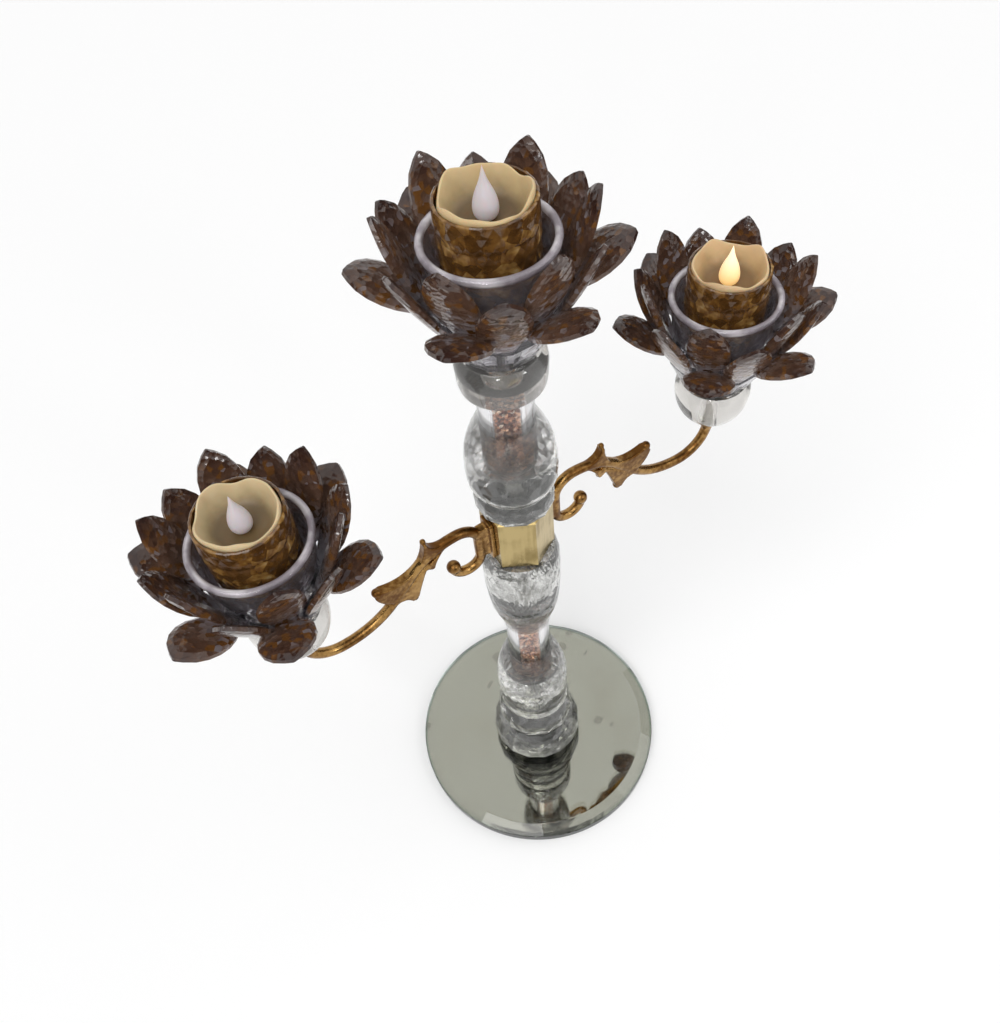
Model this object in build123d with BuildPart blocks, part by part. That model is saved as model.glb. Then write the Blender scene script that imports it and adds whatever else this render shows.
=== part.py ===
from build123d import *
from math import atan2, cos, degrees, hypot, radians, sin
import os

os.makedirs("parts", exist_ok=True)

# Driving sizes, in millimetres. The origin is the middle of the underside, +Z is up
# and the two arms reach along -X and +X.
base_radius = 87.5
base_thickness = 10.0
pad_height = 1.5
stem_top_rim = 490.5
side_rim = 391.5
arm_reach = 132.2
rod_radius = 2.5
rod_bore = 2.8
tube_radius = 13.8
tube_bore = 7.4
socket_radius = 13.9
gasket = 0.6
collar_flats = 34.6
nut_flats = 8.0
nut_height = 4.0
candle_radius = 18.9

# Heights inside one flower head, counted up from the face that its calyx stands on.
rim_above_seat = 79.0
calyx_height = 25.0
bowl_foot = 23.0
bowl_floor = 29.5
bowl_rim = 59.0
cup_floor = 2.7
cup_rim = 69.0
candle_foot = bowl_floor + cup_floor
top_seat = stem_top_rim - rim_above_seat
side_seat = side_rim - rim_above_seat

# Levels of the stem, from the mirror upwards. Thin clear gaskets part the glass pieces.
mirror_top = pad_height + base_thickness
foot_bottom = mirror_top + gasket
foot_top = 40.0
rondelle_bottom = foot_top + gasket
rondelle_top = 68.0
lower_cup_bottom = rondelle_top + gasket
lower_cup_top = 137.0
lower_tube_bottom = 112.0
pear_bottom = 178.0
lower_tube_top = 204.0
pear_top = 258.0
collar_bottom = pear_top + gasket
collar_top = 299.0
block_bottom = collar_top + gasket
block_top = 317.0
upper_cup_bottom = block_top + gasket
upper_cup_top = 363.0
upper_tube_bottom = 335.0
neck_bottom = 377.0
upper_tube_top = 396.0
neck_top = top_seat - gasket

pieces = {}


def keep(name, shape):
    """Name one finished piece, to be written at the end."""
    shape.label = name
    pieces[name] = shape


def faceted(levels, sides, turn=0.0):
    """A cut glass body: flat facets between polygons, given as (height, radius)."""
    with BuildPart() as body:
        for height, radius in levels:
            with BuildSketch(Plane.XY.offset(height)):
                RegularPolygon(radius, sides, rotation=turn)
        loft(ruled=True)
    return body.part


def turned(outline, bore_line):
    """A turned glass body: an outer spline closed along its bore, spun about Z."""
    with BuildPart() as body:
        with BuildSketch(Plane.XZ):
            with BuildLine():
                edge = Spline(*outline)
                Polyline(edge @ 1, *bore_line, edge @ 0)
            make_face()
        revolve(axis=Axis.Z)
    return body.part


def bored(low, high, radius=rod_bore):
    """Drill a round hole up the middle of the body that is being built."""
    with Locations((0, 0, low)):
        Cylinder(radius, high - low, align=(Align.CENTER, Align.CENTER, Align.MIN), mode=Mode.SUBTRACT)


def ring(inner, outer, low, high):
    """A plain tube or washer between two heights."""
    with BuildPart() as body:
        with BuildSketch(Plane.XY.offset(low)):
            Circle(outer)
            Circle(inner, mode=Mode.SUBTRACT)
        extrude(amount=high - low)
    return body.part


# Base: a thick round mirror with a wide ground bevel, drilled for the rod.
bevel_width = 9.0
bevel_depth = 3.0
nut_pocket_radius = 8.0
nut_pocket_depth = 5.2

with BuildPart() as base_mirror:
    with BuildSketch(Plane.XZ):
        with BuildLine():
            Polyline(
                (rod_bore, pad_height + nut_pocket_depth),
                (nut_pocket_radius, pad_height + nut_pocket_depth),
                (nut_pocket_radius, pad_height),
                (base_radius, pad_height),
                (base_radius, mirror_top - bevel_depth),
                (base_radius - bevel_width, mirror_top),
                (rod_bore, mirror_top),
                close=True,
            )
        make_face()
    revolve(axis=Axis.Z)
keep("base_mirror", base_mirror.part)

pad_radius = 9.0
pad_circle = 68.0
with BuildPart() as base_pads:
    with BuildSketch():
        with PolarLocations(pad_circle, 6, start_angle=30):
            Circle(pad_radius)
    extrude(amount=pad_height)
keep("base_pads", base_pads.part)

# Foot: a fat cut rondelle, widest low down, with its crown facets drawn in to the ring above.
with BuildPart() as foot_glass:
    add(faceted([(foot_bottom, 29.5), (19.0, 32.2), (27.0, 31.4), (36.0, 27.4), (foot_top, 24.6)], 16))
    bored(foot_bottom, foot_top)
keep("foot_glass", foot_glass.part)

with BuildPart() as lower_rondelle:
    add(faceted([(rondelle_bottom, 22.6), (47.0, 26.4), (58.0, 26.4), (rondelle_top, 23.0)], 12, 15))
    bored(rondelle_bottom, rondelle_top)
keep("lower_rondelle", lower_rondelle.part)

# Lower cup: a ringed foot, a straight belly and a domed shoulder round the tube.
ring_groove = 84.0
with BuildPart() as lower_cup:
    with BuildSketch(Plane.XZ):
        with BuildLine():
            Polyline(
                (rod_bore, lower_cup_bottom),
                (22.4, lower_cup_bottom),
                (24.2, lower_cup_bottom + 2.0),
                (24.2, ring_groove - 2.0),
                (22.8, ring_groove),
                (24.4, ring_groove + 2.0),
                (24.4, 105.0),
            )
            shoulder = Spline(
                (24.4, 105.0),
                (23.0, 113.5),
                (19.6, 126.0),
                (16.3, 135.5),
                tangents=((0, 1), (-0.3, 1)),
            )
            Polyline(
                shoulder @ 1,
                (15.8, lower_cup_top),
                (socket_radius, lower_cup_top),
                (socket_radius, lower_tube_bottom),
                (rod_bore, lower_tube_bottom),
                (rod_bore, lower_cup_bottom),
            )
        make_face()
    revolve(axis=Axis.Z)
keep("lower_cup", lower_cup.part)

# Thick walled tubes with a column of crushed stones round the rod.
stone_clearance = 0.2
keep("lower_tube", ring(tube_bore, tube_radius, lower_tube_bottom, lower_tube_top))
keep("upper_tube", ring(tube_bore, tube_radius, upper_tube_bottom, upper_tube_top))
keep("lower_stones", ring(rod_bore, tube_bore - stone_clearance, lower_tube_bottom, lower_tube_top - 2))
keep("upper_stones", ring(rod_bore, tube_bore - stone_clearance, upper_tube_bottom, upper_tube_top - 2))

# Pear: narrow lip on the lower tube, swelling to a full round top under the collar.
pear_glass = turned(
    [
        (15.4, pear_bottom),
        (16.6, 186.0),
        (18.9, 193.5),
        (20.8, 201.0),
        (22.4, 218.0),
        (22.9, 236.0),
        (22.6, 251.0),
        (20.6, pear_top),
    ],
    [
        (rod_bore, pear_top),
        (rod_bore, lower_tube_top),
        (socket_radius, lower_tube_top),
        (socket_radius, pear_bottom),
    ],
)
keep("pear_glass", pear_glass)

# Collar: a six sided brass block. The arms are studded to two opposite flats.
collar_mid = (collar_bottom + collar_top) / 2
arm_stud_radius = 2.0
arm_stud_inner = 7.0
arm_stud_outer = 23.5
with BuildPart() as collar:
    with BuildSketch(Plane.XY.offset(collar_bottom)):
        RegularPolygon(collar_flats / 2, 6, major_radius=False, rotation=30)
    extrude(amount=collar_top - collar_bottom)
    chamfer(collar.edges().filter_by(Axis.Z, reverse=True), 1.0)
    bored(collar_bottom, collar_top)
    for side in (-1, 1):
        with BuildSketch(Plane.YZ.offset(side * arm_stud_inner)):
            with Locations((0, collar_mid)):
                Circle(arm_stud_radius)
        extrude(amount=side * collar_flats / 2, mode=Mode.SUBTRACT)
keep("collar", collar.part)

# Cut block between collar and upper cup.
with BuildPart() as facet_block:
    add(faceted([(block_bottom, 19.4), (302.5, 21.4), (312.5, 21.8), (block_top, 20.4)], 12, 15))
    bored(block_bottom, block_top)
keep("facet_block", facet_block.part)

# Upper cup: the same domed glass as the lower one, on a shorter foot.
upper_cup = turned(
    [(21.4, upper_cup_bottom), (23.6, 322.5), (24.0, 331.0), (22.8, 344.5), (20.0, 354.5), (16.2, upper_cup_top)],
    [
        (socket_radius, upper_cup_top),
        (socket_radius, upper_tube_bottom),
        (rod_bore, upper_tube_bottom),
        (rod_bore, upper_cup_bottom),
    ],
)
keep("upper_cup", upper_cup)

# Neck ball of the middle flower, with the brass coupler that shows inside it.
coupler_radius = 7.6
coupler_top = neck_top - 3.0
neck_ball = turned(
    [(15.2, neck_bottom), (18.4, 384.5), (20.6, 391.0), (21.5, 400.0), (21.0, 407.0), (18.6, neck_top)],
    [
        (rod_bore, neck_top),
        (rod_bore, coupler_top),
        (coupler_radius + 0.1, coupler_top),
        (coupler_radius + 0.1, upper_tube_top),
        (socket_radius, upper_tube_top),
        (socket_radius, neck_bottom),
    ],
)
keep("neck_ball", neck_ball)

with BuildPart() as top_coupler:
    with BuildSketch(Plane.XY.offset(upper_tube_top)):
        RegularPolygon(coupler_radius, 6)
        Circle(rod_bore, mode=Mode.SUBTRACT)
    extrude(amount=coupler_top - upper_tube_top)
keep("top_coupler", top_coupler.part)

# The ball under each side flower ends in a small foot that stands in the arm's pan.
side_ball_bottom = side_seat - 33.0
side_ball = turned(
    [
        (6.4, side_ball_bottom),
        (13.2, side_ball_bottom + 5.0),
        (18.6, side_ball_bottom + 12.5),
        (20.9, side_ball_bottom + 21.0),
        (20.8, side_ball_bottom + 28.0),
        (18.6, side_seat - gasket),
    ],
    [(rod_bore, side_seat - gasket), (rod_bore, side_ball_bottom)],
)

# Calyx: twelve sided clear crystal, on which the petals are ground to fit and glued.
recess_radius = 18.2
calyx_blank = faceted([(0, 17.4), (3.5, 20.2), (19.0, 27.4), (calyx_height, 24.0)], 12, 15)
with BuildPart() as calyx:
    add(calyx_blank)
    with BuildSketch(Plane.XY.offset(bowl_foot)):
        Circle(recess_radius)
    extrude(amount=calyx_height - bowl_foot, mode=Mode.SUBTRACT)
    bored(0, bowl_foot)

# Bowl: clear blown glass with a thick lip, a foot in the calyx and a pocket for the nut.
foot_radius = recess_radius - 0.1
nut_well = 5.3
lip_radius = 29.2
with BuildPart() as bowl:
    with BuildSketch(Plane.XZ):
        with BuildLine():
            Polyline((rod_bore, bowl_foot), (foot_radius, bowl_foot), (foot_radius, calyx_height + 0.4))
            belly = Spline(
                (foot_radius, calyx_height + 0.4), (23.0, 31.0), (26.6, 44.0), (lip_radius, bowl_rim - 1.5)
            )
            lip = ThreePointArc(belly @ 1, (lip_radius - 1.4, bowl_rim), (lip_radius - 2.8, bowl_rim - 1.5))
            inside = Spline(lip @ 1, (24.2, 44.0), (21.6, bowl_floor + 3.0))
            Polyline(
                inside @ 1,
                (21.2, bowl_floor),
                (nut_well, bowl_floor),
                (nut_well, bowl_floor - nut_height),
                (rod_bore, bowl_floor - nut_height),
                (rod_bore, bowl_foot),
            )
        make_face()
    revolve(axis=Axis.Z)

# Petals: cut crystal almonds, thin at the girdle and thick at the tables.
petal_steps = ((0.0, 0.34), (0.2, 0.56), (0.42, 0.88), (0.62, 1.0), (0.78, 0.86), (0.91, 0.48), (1.0, 0.07))
table_scale = 0.52
table_centre = 0.58
girdle_thickness = 1.8


def petal_outline(length, half_width, shrink):
    """The almond outline, drawn in towards the table's centre by shrink."""
    middle = table_centre * length
    edge = [
        (middle + (step * length - middle) * shrink, width * half_width * shrink)
        for step, width in petal_steps
    ]
    return edge + [(x, -y) for x, y in reversed(edge)]


def cut_petal(length, half_width, thickness):
    """One petal with its root at the origin, lying along +X with its tables in XY."""
    with BuildPart() as petal:
        for height, shrink in (
            (-thickness / 2, table_scale),
            (-girdle_thickness / 2, 1.0),
            (girdle_thickness / 2, 1.0),
            (thickness / 2, table_scale),
        ):
            with BuildSketch(Plane.XY.offset(height)):
                with BuildLine():
                    Polyline(*petal_outline(length, half_width, shrink), close=True)
                make_face()
        loft(ruled=True)
    return petal.part


def petal_ring(root, tip, half_width, thickness, turns):
    """A ring of petals between a root and a tip, each (radius, height), ground to the calyx."""
    run = tip[0] - root[0]
    climb = tip[1] - root[1]
    petal = cut_petal(hypot(run, climb), half_width, thickness)
    tilt = Location((root[0], 0, root[1]), (0, -degrees(atan2(climb, run)), 0))
    with BuildPart() as tier:
        for turn in turns:
            with Locations(Location((0, 0, 0), (0, 0, turn)) * tilt):
                add(petal)
        add(calyx_blank, mode=Mode.SUBTRACT)
    return tier.part


# Votive cup: amber glass with sixteen hammered flats outside and a round inside.
cup_bore = candle_radius + 0.4
with BuildPart() as votive_cup:
    add(faceted([(bowl_floor, 18.4), (bowl_floor + 2.5, 20.5), (50.0, 20.7), (cup_rim, 21.3)], 16))
    with BuildSketch(Plane.XY.offset(candle_foot)):
        Circle(cup_bore)
    extrude(amount=cup_rim - candle_foot, mode=Mode.SUBTRACT)

# Candle: a moulded shell with a melted looking rim, lit from inside by a small flame.
shell_wall = 1.4
well_floor = rim_above_seat - 13.0
well_floor_thickness = 1.6
flame_hole = 2.4
wave_count = 5
wave_radius = 9.0
wave_depth = 3.6
with BuildPart() as candle_shell:
    with BuildSketch(Plane.XZ):
        with BuildLine():
            Polyline(
                (candle_radius - shell_wall, candle_foot),
                (candle_radius, candle_foot),
                (candle_radius, rim_above_seat - 2.0),
                (candle_radius + 0.5, rim_above_seat + 1.0),
                (candle_radius - 0.8, rim_above_seat + 1.2),
                (15.6, rim_above_seat - 6.0),
                (13.4, well_floor),
                (flame_hole, well_floor),
                (flame_hole, well_floor - well_floor_thickness),
                (candle_radius - shell_wall, well_floor - well_floor_thickness - 1.0),
                close=True,
            )
        make_face()
    revolve(axis=Axis.Z)
    with PolarLocations(candle_radius, wave_count, start_angle=20):
        with Locations(Location((0, 0, rim_above_seat + 1.2 + wave_radius - wave_depth), (0, 90, 0))):
            Cylinder(wave_radius, 12.0, mode=Mode.SUBTRACT)

flame_radius = 5.0
flame_tip = rim_above_seat + 10.0
flame_widest = rim_above_seat - 6.0
with BuildPart() as flame:
    with BuildSketch(Plane.XZ):
        with BuildLine():
            Polyline(
                (0, flame_tip),
                (0, well_floor - well_floor_thickness),
                (flame_hole - 0.1, well_floor - well_floor_thickness),
                (flame_hole - 0.1, well_floor + 0.2),
            )
            Spline(
                (flame_hole - 0.1, well_floor + 0.2),
                (flame_radius, flame_widest),
                (2.6, rim_above_seat + 1.5),
                (0, flame_tip),
                tangents=((1, 0.35), (-0.25, 1)),
            )
        make_face()
    revolve(axis=Axis.Z)

# Candle underside: a snap-in base with a battery well, a twist door and a slide switch.
base_recess = 1.6
base_low = candle_foot + base_recess
door_radius = 12.0
door_thickness = 1.5
battery_radius = 10.0
battery_height = 3.2
switch_offset = 14.7
switch_slot = (3.6, 5.6)
switch_size = (1.8, 2.4)
switch_travel = 2.8
well_top = base_low + door_thickness + battery_height + 1.4

with BuildPart() as candle_base:
    with BuildSketch(Plane.XY.offset(base_low)):
        Circle(candle_radius - shell_wall - 0.1)
    extrude(amount=1.8)
    with BuildSketch(Plane.XY.offset(base_low)):
        Circle(door_radius + 1.0)
    extrude(amount=well_top - base_low)
    with BuildSketch(Plane.XY.offset(base_low)):
        Circle(door_radius + 0.1)
    extrude(amount=door_thickness, mode=Mode.SUBTRACT)
    with BuildSketch(Plane.XY.offset(base_low)):
        Circle(battery_radius + 0.3)
    extrude(amount=door_thickness + battery_height + 0.2, mode=Mode.SUBTRACT)
    with BuildSketch(Plane.XY.offset(base_low)):
        with Locations((switch_offset + 0.2, 0)):
            Rectangle(2.4, switch_slot[1] + 0.4)
    extrude(amount=1.8, mode=Mode.SUBTRACT)

with BuildPart() as battery:
    with BuildSketch(Plane.XY.offset(base_low + door_thickness)):
        Circle(battery_radius)
    extrude(amount=battery_height)
    chamfer(battery.edges().sort_by(Axis.Z)[-1], 0.4)

coin_slot = (14.0, 1.8)
coin_slot_depth = 0.8
with BuildPart() as battery_door:
    with BuildSketch(Plane.XY.offset(base_low)):
        Circle(door_radius)
    extrude(amount=door_thickness)
    with BuildSketch(Plane.XY.offset(base_low)):
        Rectangle(*coin_slot)
    extrude(amount=coin_slot_depth, mode=Mode.SUBTRACT)

# The switch stands at the off end of its slot and slides along +Y to on.
with BuildPart() as switch_slider:
    with BuildSketch(Plane.XY.offset(base_low - 0.8)):
        with Locations((switch_offset + 0.2, -switch_travel / 2)):
            Rectangle(*switch_size)
    extrude(amount=3.4)

# Arms: cast brass scrolls drawn in the XZ plane, from the inner curl to the pan.
bar_radius = 3.0
bar_x = 24.6
curl_radius = 8.6
curl_low = 268.0
bar_top = 282.0
arch_radius = 12.8
slope = 47.4
crest_radius = 38.0
slope_length = 20.0
sag_radius = 45.8
pan_bottom = side_ball_bottom - 4.0
flange_width = 11.0
flange_height = 30.0
flange_thickness = 2.4
web_width = 5.2
web_height = 24.0
trumpet_radius = 4.3
trumpet_height = 8.0
crest_start = (bar_x + arch_radius, bar_top + arch_radius)
slope_start = (
    crest_start[0] + crest_radius * sin(radians(slope)),
    crest_start[1] - crest_radius * (1 - cos(radians(slope))),
)
slope_end = (
    slope_start[0] + slope_length * cos(radians(slope)),
    slope_start[1] - slope_length * sin(radians(slope)),
)
sag_end = (
    slope_end[0] + sag_radius * sin(radians(slope)),
    slope_end[1] - sag_radius * (1 - cos(radians(slope))),
)
last_radius = arm_reach - sag_end[0]


def leaf(points, tip):
    """A cast leaf lobe: a smooth flat horn that ends in a small bead."""
    with BuildPart() as lobe:
        with BuildSketch(Plane.XZ):
            with BuildLine():
                outer = Spline(*points[0])
                inner = Spline(*points[1])
                Line(outer @ 1, inner @ 1)
                Line(inner @ 0, outer @ 0)
            make_face()
        extrude(amount=leaf_thickness / 2, both=True)
        with Locations((tip[0], 0, tip[1])):
            Sphere(tip[2])
    return lobe.part


leaf_thickness = 5.6
lobes = (
    # The short spur over the crest.
    (
        [(46.0, 295.6), (52.2, 298.0), (54.9, 303.8)],
        [(61.0, 289.0), (57.8, 295.6), (56.6, 303.4)],
        (55.7, 304.4, 1.7),
    ),
    # The short spur under the crest.
    (
        [(46.0, 291.6), (50.4, 286.4), (52.9, 280.6)],
        [(61.5, 282.0), (57.4, 282.2), (54.7, 280.2)],
        (53.8, 280.2, 1.3),
    ),
    # The leaf that turns back under the slope.
    (
        [(56.0, 286.5), (60.6, 276.0), (65.2, 263.6)],
        [(80.5, 265.4), (73.4, 266.0), (69.4, 261.6)],
        (67.4, 262.0, 2.5),
    ),
    # The leaf that stands up beyond it.
    (
        [(58.0, 292.6), (72.4, 283.0), (84.8, 284.6)],
        [(77.0, 267.5), (84.4, 272.6), (88.8, 280.8)],
        (87.0, 283.2, 2.6),
    ),
)
with BuildPart() as arm:
    with BuildLine(Plane.XZ) as scroll:
        curl_end = (bar_x + 2 * curl_radius, curl_low)
        ThreePointArc(curl_end, (bar_x + curl_radius, curl_low - curl_radius), (bar_x, curl_low))
        Line((bar_x, curl_low), (bar_x, bar_top))
        TangentArc((bar_x, bar_top), crest_start, tangent=(0, 1))
        TangentArc(crest_start, slope_start, tangent=(1, 0))
        Line(slope_start, slope_end)
        TangentArc(slope_end, sag_end, tangent=(cos(radians(slope)), -sin(radians(slope))))
        TangentArc(sag_end, (arm_reach, sag_end[1] + last_radius), tangent=(1, 0))
        Line((arm_reach, sag_end[1] + last_radius), (arm_reach, pan_bottom))
    with BuildSketch(Plane(origin=scroll.line @ 0, z_dir=scroll.line % 0)):
        Circle(bar_radius)
    sweep(path=scroll.line)
    with Locations((bar_x + 2 * curl_radius, 0, curl_low + 0.6)):
        Sphere(bar_radius + 1.0)
    with BuildSketch(Plane.YZ.offset(collar_flats / 2)):
        with Locations((0, collar_mid)):
            RectangleRounded(flange_width, flange_height, 2.0)
    extrude(amount=flange_thickness)
    with BuildSketch(Plane.YZ.offset(collar_flats / 2)):
        with Locations((0, collar_mid)):
            Rectangle(web_width, web_height)
    extrude(amount=bar_x - collar_flats / 2)
    with Locations((arm_reach, 0, pan_bottom - trumpet_height / 2)):
        Cone(bar_radius - 0.3, trumpet_radius, trumpet_height)
    for outer_edge, inner_edge, bead in lobes:
        add(leaf((outer_edge, inner_edge), bead))
    with BuildSketch(Plane.YZ.offset(collar_flats / 2)):
        with Locations((0, collar_mid)):
            Circle(arm_stud_radius)
    extrude(amount=arm_stud_outer - collar_flats / 2, mode=Mode.SUBTRACT)
keep("arm_right", arm.part)
keep("arm_left", arm.part.moved(Location((0, 0, 0), (0, 0, 180))))

with BuildPart() as arm_studs:
    for side in (-1, 1):
        with BuildSketch(Plane.YZ.offset(side * (arm_stud_inner + 0.2))):
            with Locations((0, collar_mid)):
                Circle(arm_stud_radius - 0.05)
        extrude(amount=side * (arm_stud_outer - arm_stud_inner - 0.4))
keep("arm_studs", arm_studs.part)

# Pans: small brass dishes brazed to the arms' ends, each with the stud of its flower.
stud_foot = pan_bottom + 1.0
with BuildPart() as pan:
    with BuildSketch(Plane.XZ):
        with BuildLine():
            Polyline(
                (0, pan_bottom),
                (4.2, pan_bottom),
                (8.6, side_ball_bottom - 0.6),
                (8.6, side_ball_bottom),
                (0, side_ball_bottom),
                close=True,
            )
        make_face()
    revolve(axis=Axis.Z)
    bored(stud_foot, side_ball_bottom, rod_radius)

stud_tail = 0.6
nut_top = bowl_floor
rod_end = nut_top - 0.3


def nut(level):
    """One hexagon nut with its bottom face at the given height."""
    with BuildPart() as body:
        with BuildSketch(Plane.XY.offset(level)):
            RegularPolygon(nut_flats / 2, 6, major_radius=False)
            Circle(rod_radius + 0.05, mode=Mode.SUBTRACT)
        extrude(amount=nut_height)
    return body.part


with BuildPart() as centre_rod:
    with BuildSketch(Plane.XY.offset(pad_height + stud_tail)):
        Circle(rod_radius)
    extrude(amount=top_seat + rod_end - pad_height - stud_tail)
keep("centre_rod", centre_rod.part)

with BuildPart() as side_studs:
    with BuildSketch(Plane.XY.offset(stud_foot)):
        with Locations((-arm_reach, 0), (arm_reach, 0)):
            Circle(rod_radius)
    extrude(amount=side_seat + rod_end - stud_foot)
keep("side_studs", side_studs.part)

heads = {
    "top": Location((0, 0, top_seat)),
    "right": Location((arm_reach, 0, side_seat)),
    "left": Location((-arm_reach, 0, side_seat)),
}

with BuildPart() as nuts:
    add(nut(pad_height + nut_pocket_depth - nut_height))
    for place in heads.values():
        with Locations(place):
            add(nut(bowl_floor - nut_height))
keep("nuts", nuts.part)

with BuildPart() as pans:
    for side in (-1, 1):
        with Locations((side * arm_reach, 0, 0)):
            add(pan.part)
keep("pans", pans.part)

with BuildPart() as side_balls:
    for side in (-1, 1):
        with Locations((side * arm_reach, 0, 0)):
            add(side_ball)
keep("side_balls", side_balls.part)

gasket_outer = 12.0
with BuildPart() as gaskets:
    for level in (mirror_top, foot_top, rondelle_top, pear_top, collar_top, block_top, neck_top):
        add(ring(rod_bore, gasket_outer, level, level + gasket))
    for side in (-1, 1):
        with Locations((side * arm_reach, 0, 0)):
            add(ring(rod_bore, gasket_outer, side_seat - gasket, side_seat))
keep("gaskets", gaskets.part)

# Where each flower's petals stand, in degrees from +X. The glued rings are not quite even.
outer_turns = {
    "top": (-24, 36, 96, 155, 222, 278),
    "right": (-26, 36, 96, 158, 222, 276),
    "left": (-38, 24, 84, 148, 208, 262),
}
upper_offset = {"top": -24, "right": -22, "left": -32}

for name, place in heads.items():
    outward = petal_ring((19.0, 11.0), (59.2, 49.0), 13.4, 6.6, outer_turns[name])
    steps = [upper_offset[name] + 60 * number for number in range(6)]
    middle = petal_ring((23.2, 17.6), (47.8, 64.0), 11.6, 5.2, [step + 30 for step in steps])
    inner = petal_ring((23.0, 21.0), (44.2, 74.0), 11.2, 5.0, steps)
    keep(f"calyx_{name}", calyx.part.moved(place))
    keep(f"bowl_{name}", bowl.part.moved(place))
    keep(f"outer_petals_{name}", outward.moved(place))
    keep(f"middle_petals_{name}", middle.moved(place))
    keep(f"inner_petals_{name}", inner.moved(place))
    keep(f"votive_cup_{name}", votive_cup.part.moved(place))
    keep(f"candle_shell_{name}", candle_shell.part.moved(place))
    keep(f"flame_{name}", flame.part.moved(place))
    keep(f"candle_base_{name}", candle_base.part.moved(place))
    keep(f"battery_{name}", battery.part.moved(place))
    keep(f"battery_door_{name}", battery_door.part.moved(place))
    keep(f"switch_{name}", switch_slider.part.moved(place))

for name, shape in pieces.items():
    export_step(shape, f"parts/{name}.step")
print(len(pieces), "pieces")
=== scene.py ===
import random
from math import atan2, copysign, cos, hypot, pi, radians, sin

import bmesh
import bpy
from mathutils import Matrix, Vector


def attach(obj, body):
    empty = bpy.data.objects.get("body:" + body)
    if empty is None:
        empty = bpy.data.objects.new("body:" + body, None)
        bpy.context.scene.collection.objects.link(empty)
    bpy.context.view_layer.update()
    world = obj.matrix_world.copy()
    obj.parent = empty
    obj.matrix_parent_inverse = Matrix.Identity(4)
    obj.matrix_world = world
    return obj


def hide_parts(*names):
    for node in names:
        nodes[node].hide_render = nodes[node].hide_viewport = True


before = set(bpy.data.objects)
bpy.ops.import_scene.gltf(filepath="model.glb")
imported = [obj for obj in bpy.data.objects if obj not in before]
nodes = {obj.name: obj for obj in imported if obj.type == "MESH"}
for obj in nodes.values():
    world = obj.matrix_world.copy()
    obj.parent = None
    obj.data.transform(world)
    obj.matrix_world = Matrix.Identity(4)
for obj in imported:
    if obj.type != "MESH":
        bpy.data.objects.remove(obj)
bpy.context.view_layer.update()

# Camera: held by hand above the table, a little to the left of the middle, and tipped well down, so that
# the three flowers are seen from above with the mirror behind the stem's foot.
camera_place = Vector((-0.1427, -0.2718, 0.7049))
camera_turn = radians(26.07)
camera_dip = radians(53.57)
camera_roll = -0.123
level = Vector((cos(camera_turn), -sin(camera_turn), 0))
ahead = Vector((sin(camera_turn) * cos(camera_dip), cos(camera_turn) * cos(camera_dip), -sin(camera_dip)))
upright = level.cross(ahead)
camera_side = cos(camera_roll) * level + sin(camera_roll) * upright
camera_up = cos(camera_roll) * upright - sin(camera_roll) * level
camera_lens = bpy.data.cameras.new("camera")
camera_lens.lens = 33.68
camera = bpy.data.objects.new("camera", camera_lens)
camera_turned = Matrix((camera_side, camera_up, -ahead)).transposed().to_4x4()
camera.matrix_world = Matrix.Translation(camera_place) @ camera_turned
bpy.context.scene.collection.objects.link(camera)
bpy.context.scene.camera = camera
bpy.context.scene.view_settings.view_transform = "Standard"


# Table and light: a pale matt table top under a white sky, one broad soft lamp from the left and a weaker
# one from the right. Dark cards that only gloss and glass see draw the edges of the crystal.
class Value:
    """One socket of a node tree, so that shader sums read as plain Python."""

    def __init__(self, tree, socket=None):
        self.tree = tree
        self.socket = socket

    def node(self, kind, settings, sockets, output=0):
        """Adds a node of any kind, with its settings and sockets, and gives one of its outputs."""
        made = self.tree.nodes.new("ShaderNode" + kind)
        for name, value in settings.items():
            if name == "stops":
                stops = made.color_ramp.elements
                stops[0].position = value[0][0]
                stops[-1].position = value[-1][0]
                for position, colour in value[1:-1]:
                    stops.new(position)
                for stop, (position, colour) in zip(stops, value):
                    stop.color = (*colour, 1)
            else:
                setattr(made, name, value)
        for name, value in sockets.items():
            if isinstance(value, Value):
                self.tree.links.new(value.socket, made.inputs[name])
            else:
                made.inputs[name].default_value = value
        return Value(self.tree, made.outputs[output])

    def sums(self, operation, first, second):
        return self.node("Math", {"operation": operation}, {0: first, 1: second})

    def __add__(self, other):
        return self.sums("ADD", self, other)

    def __sub__(self, other):
        return self.sums("SUBTRACT", self, other)

    def __rsub__(self, other):
        return self.sums("SUBTRACT", other, self)

    def __mul__(self, other):
        return self.sums("MULTIPLY", self, other)

    def __gt__(self, other):
        return self.sums("GREATER_THAN", self, other)

    def __lt__(self, other):
        return self.sums("LESS_THAN", self, other)

    __radd__ = __add__
    __rmul__ = __mul__


def seen_by_eye(tree):
    """One where a ray comes from the camera, from gloss or through glass, and nought where it only lights."""
    path = tree.nodes.new("ShaderNodeLightPath")
    seen = Value(tree, path.outputs["Is Camera Ray"])
    for kind in ("Is Glossy Ray", "Is Transmission Ray"):
        seen = seen.sums("MAXIMUM", seen, Value(tree, path.outputs[kind]))
    return seen


sky_light = 0.6
sky = bpy.data.worlds.new("sky")
bpy.context.scene.world = sky
sky.use_nodes = True
sky_shine = sky_light + (1 - sky_light) * seen_by_eye(sky.node_tree)
sky.node_tree.nodes["Background"].inputs["Color"].default_value = (1, 1, 1, 1)
sky.node_tree.links.new(sky_shine.socket, sky.node_tree.nodes["Background"].inputs["Strength"])

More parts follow.
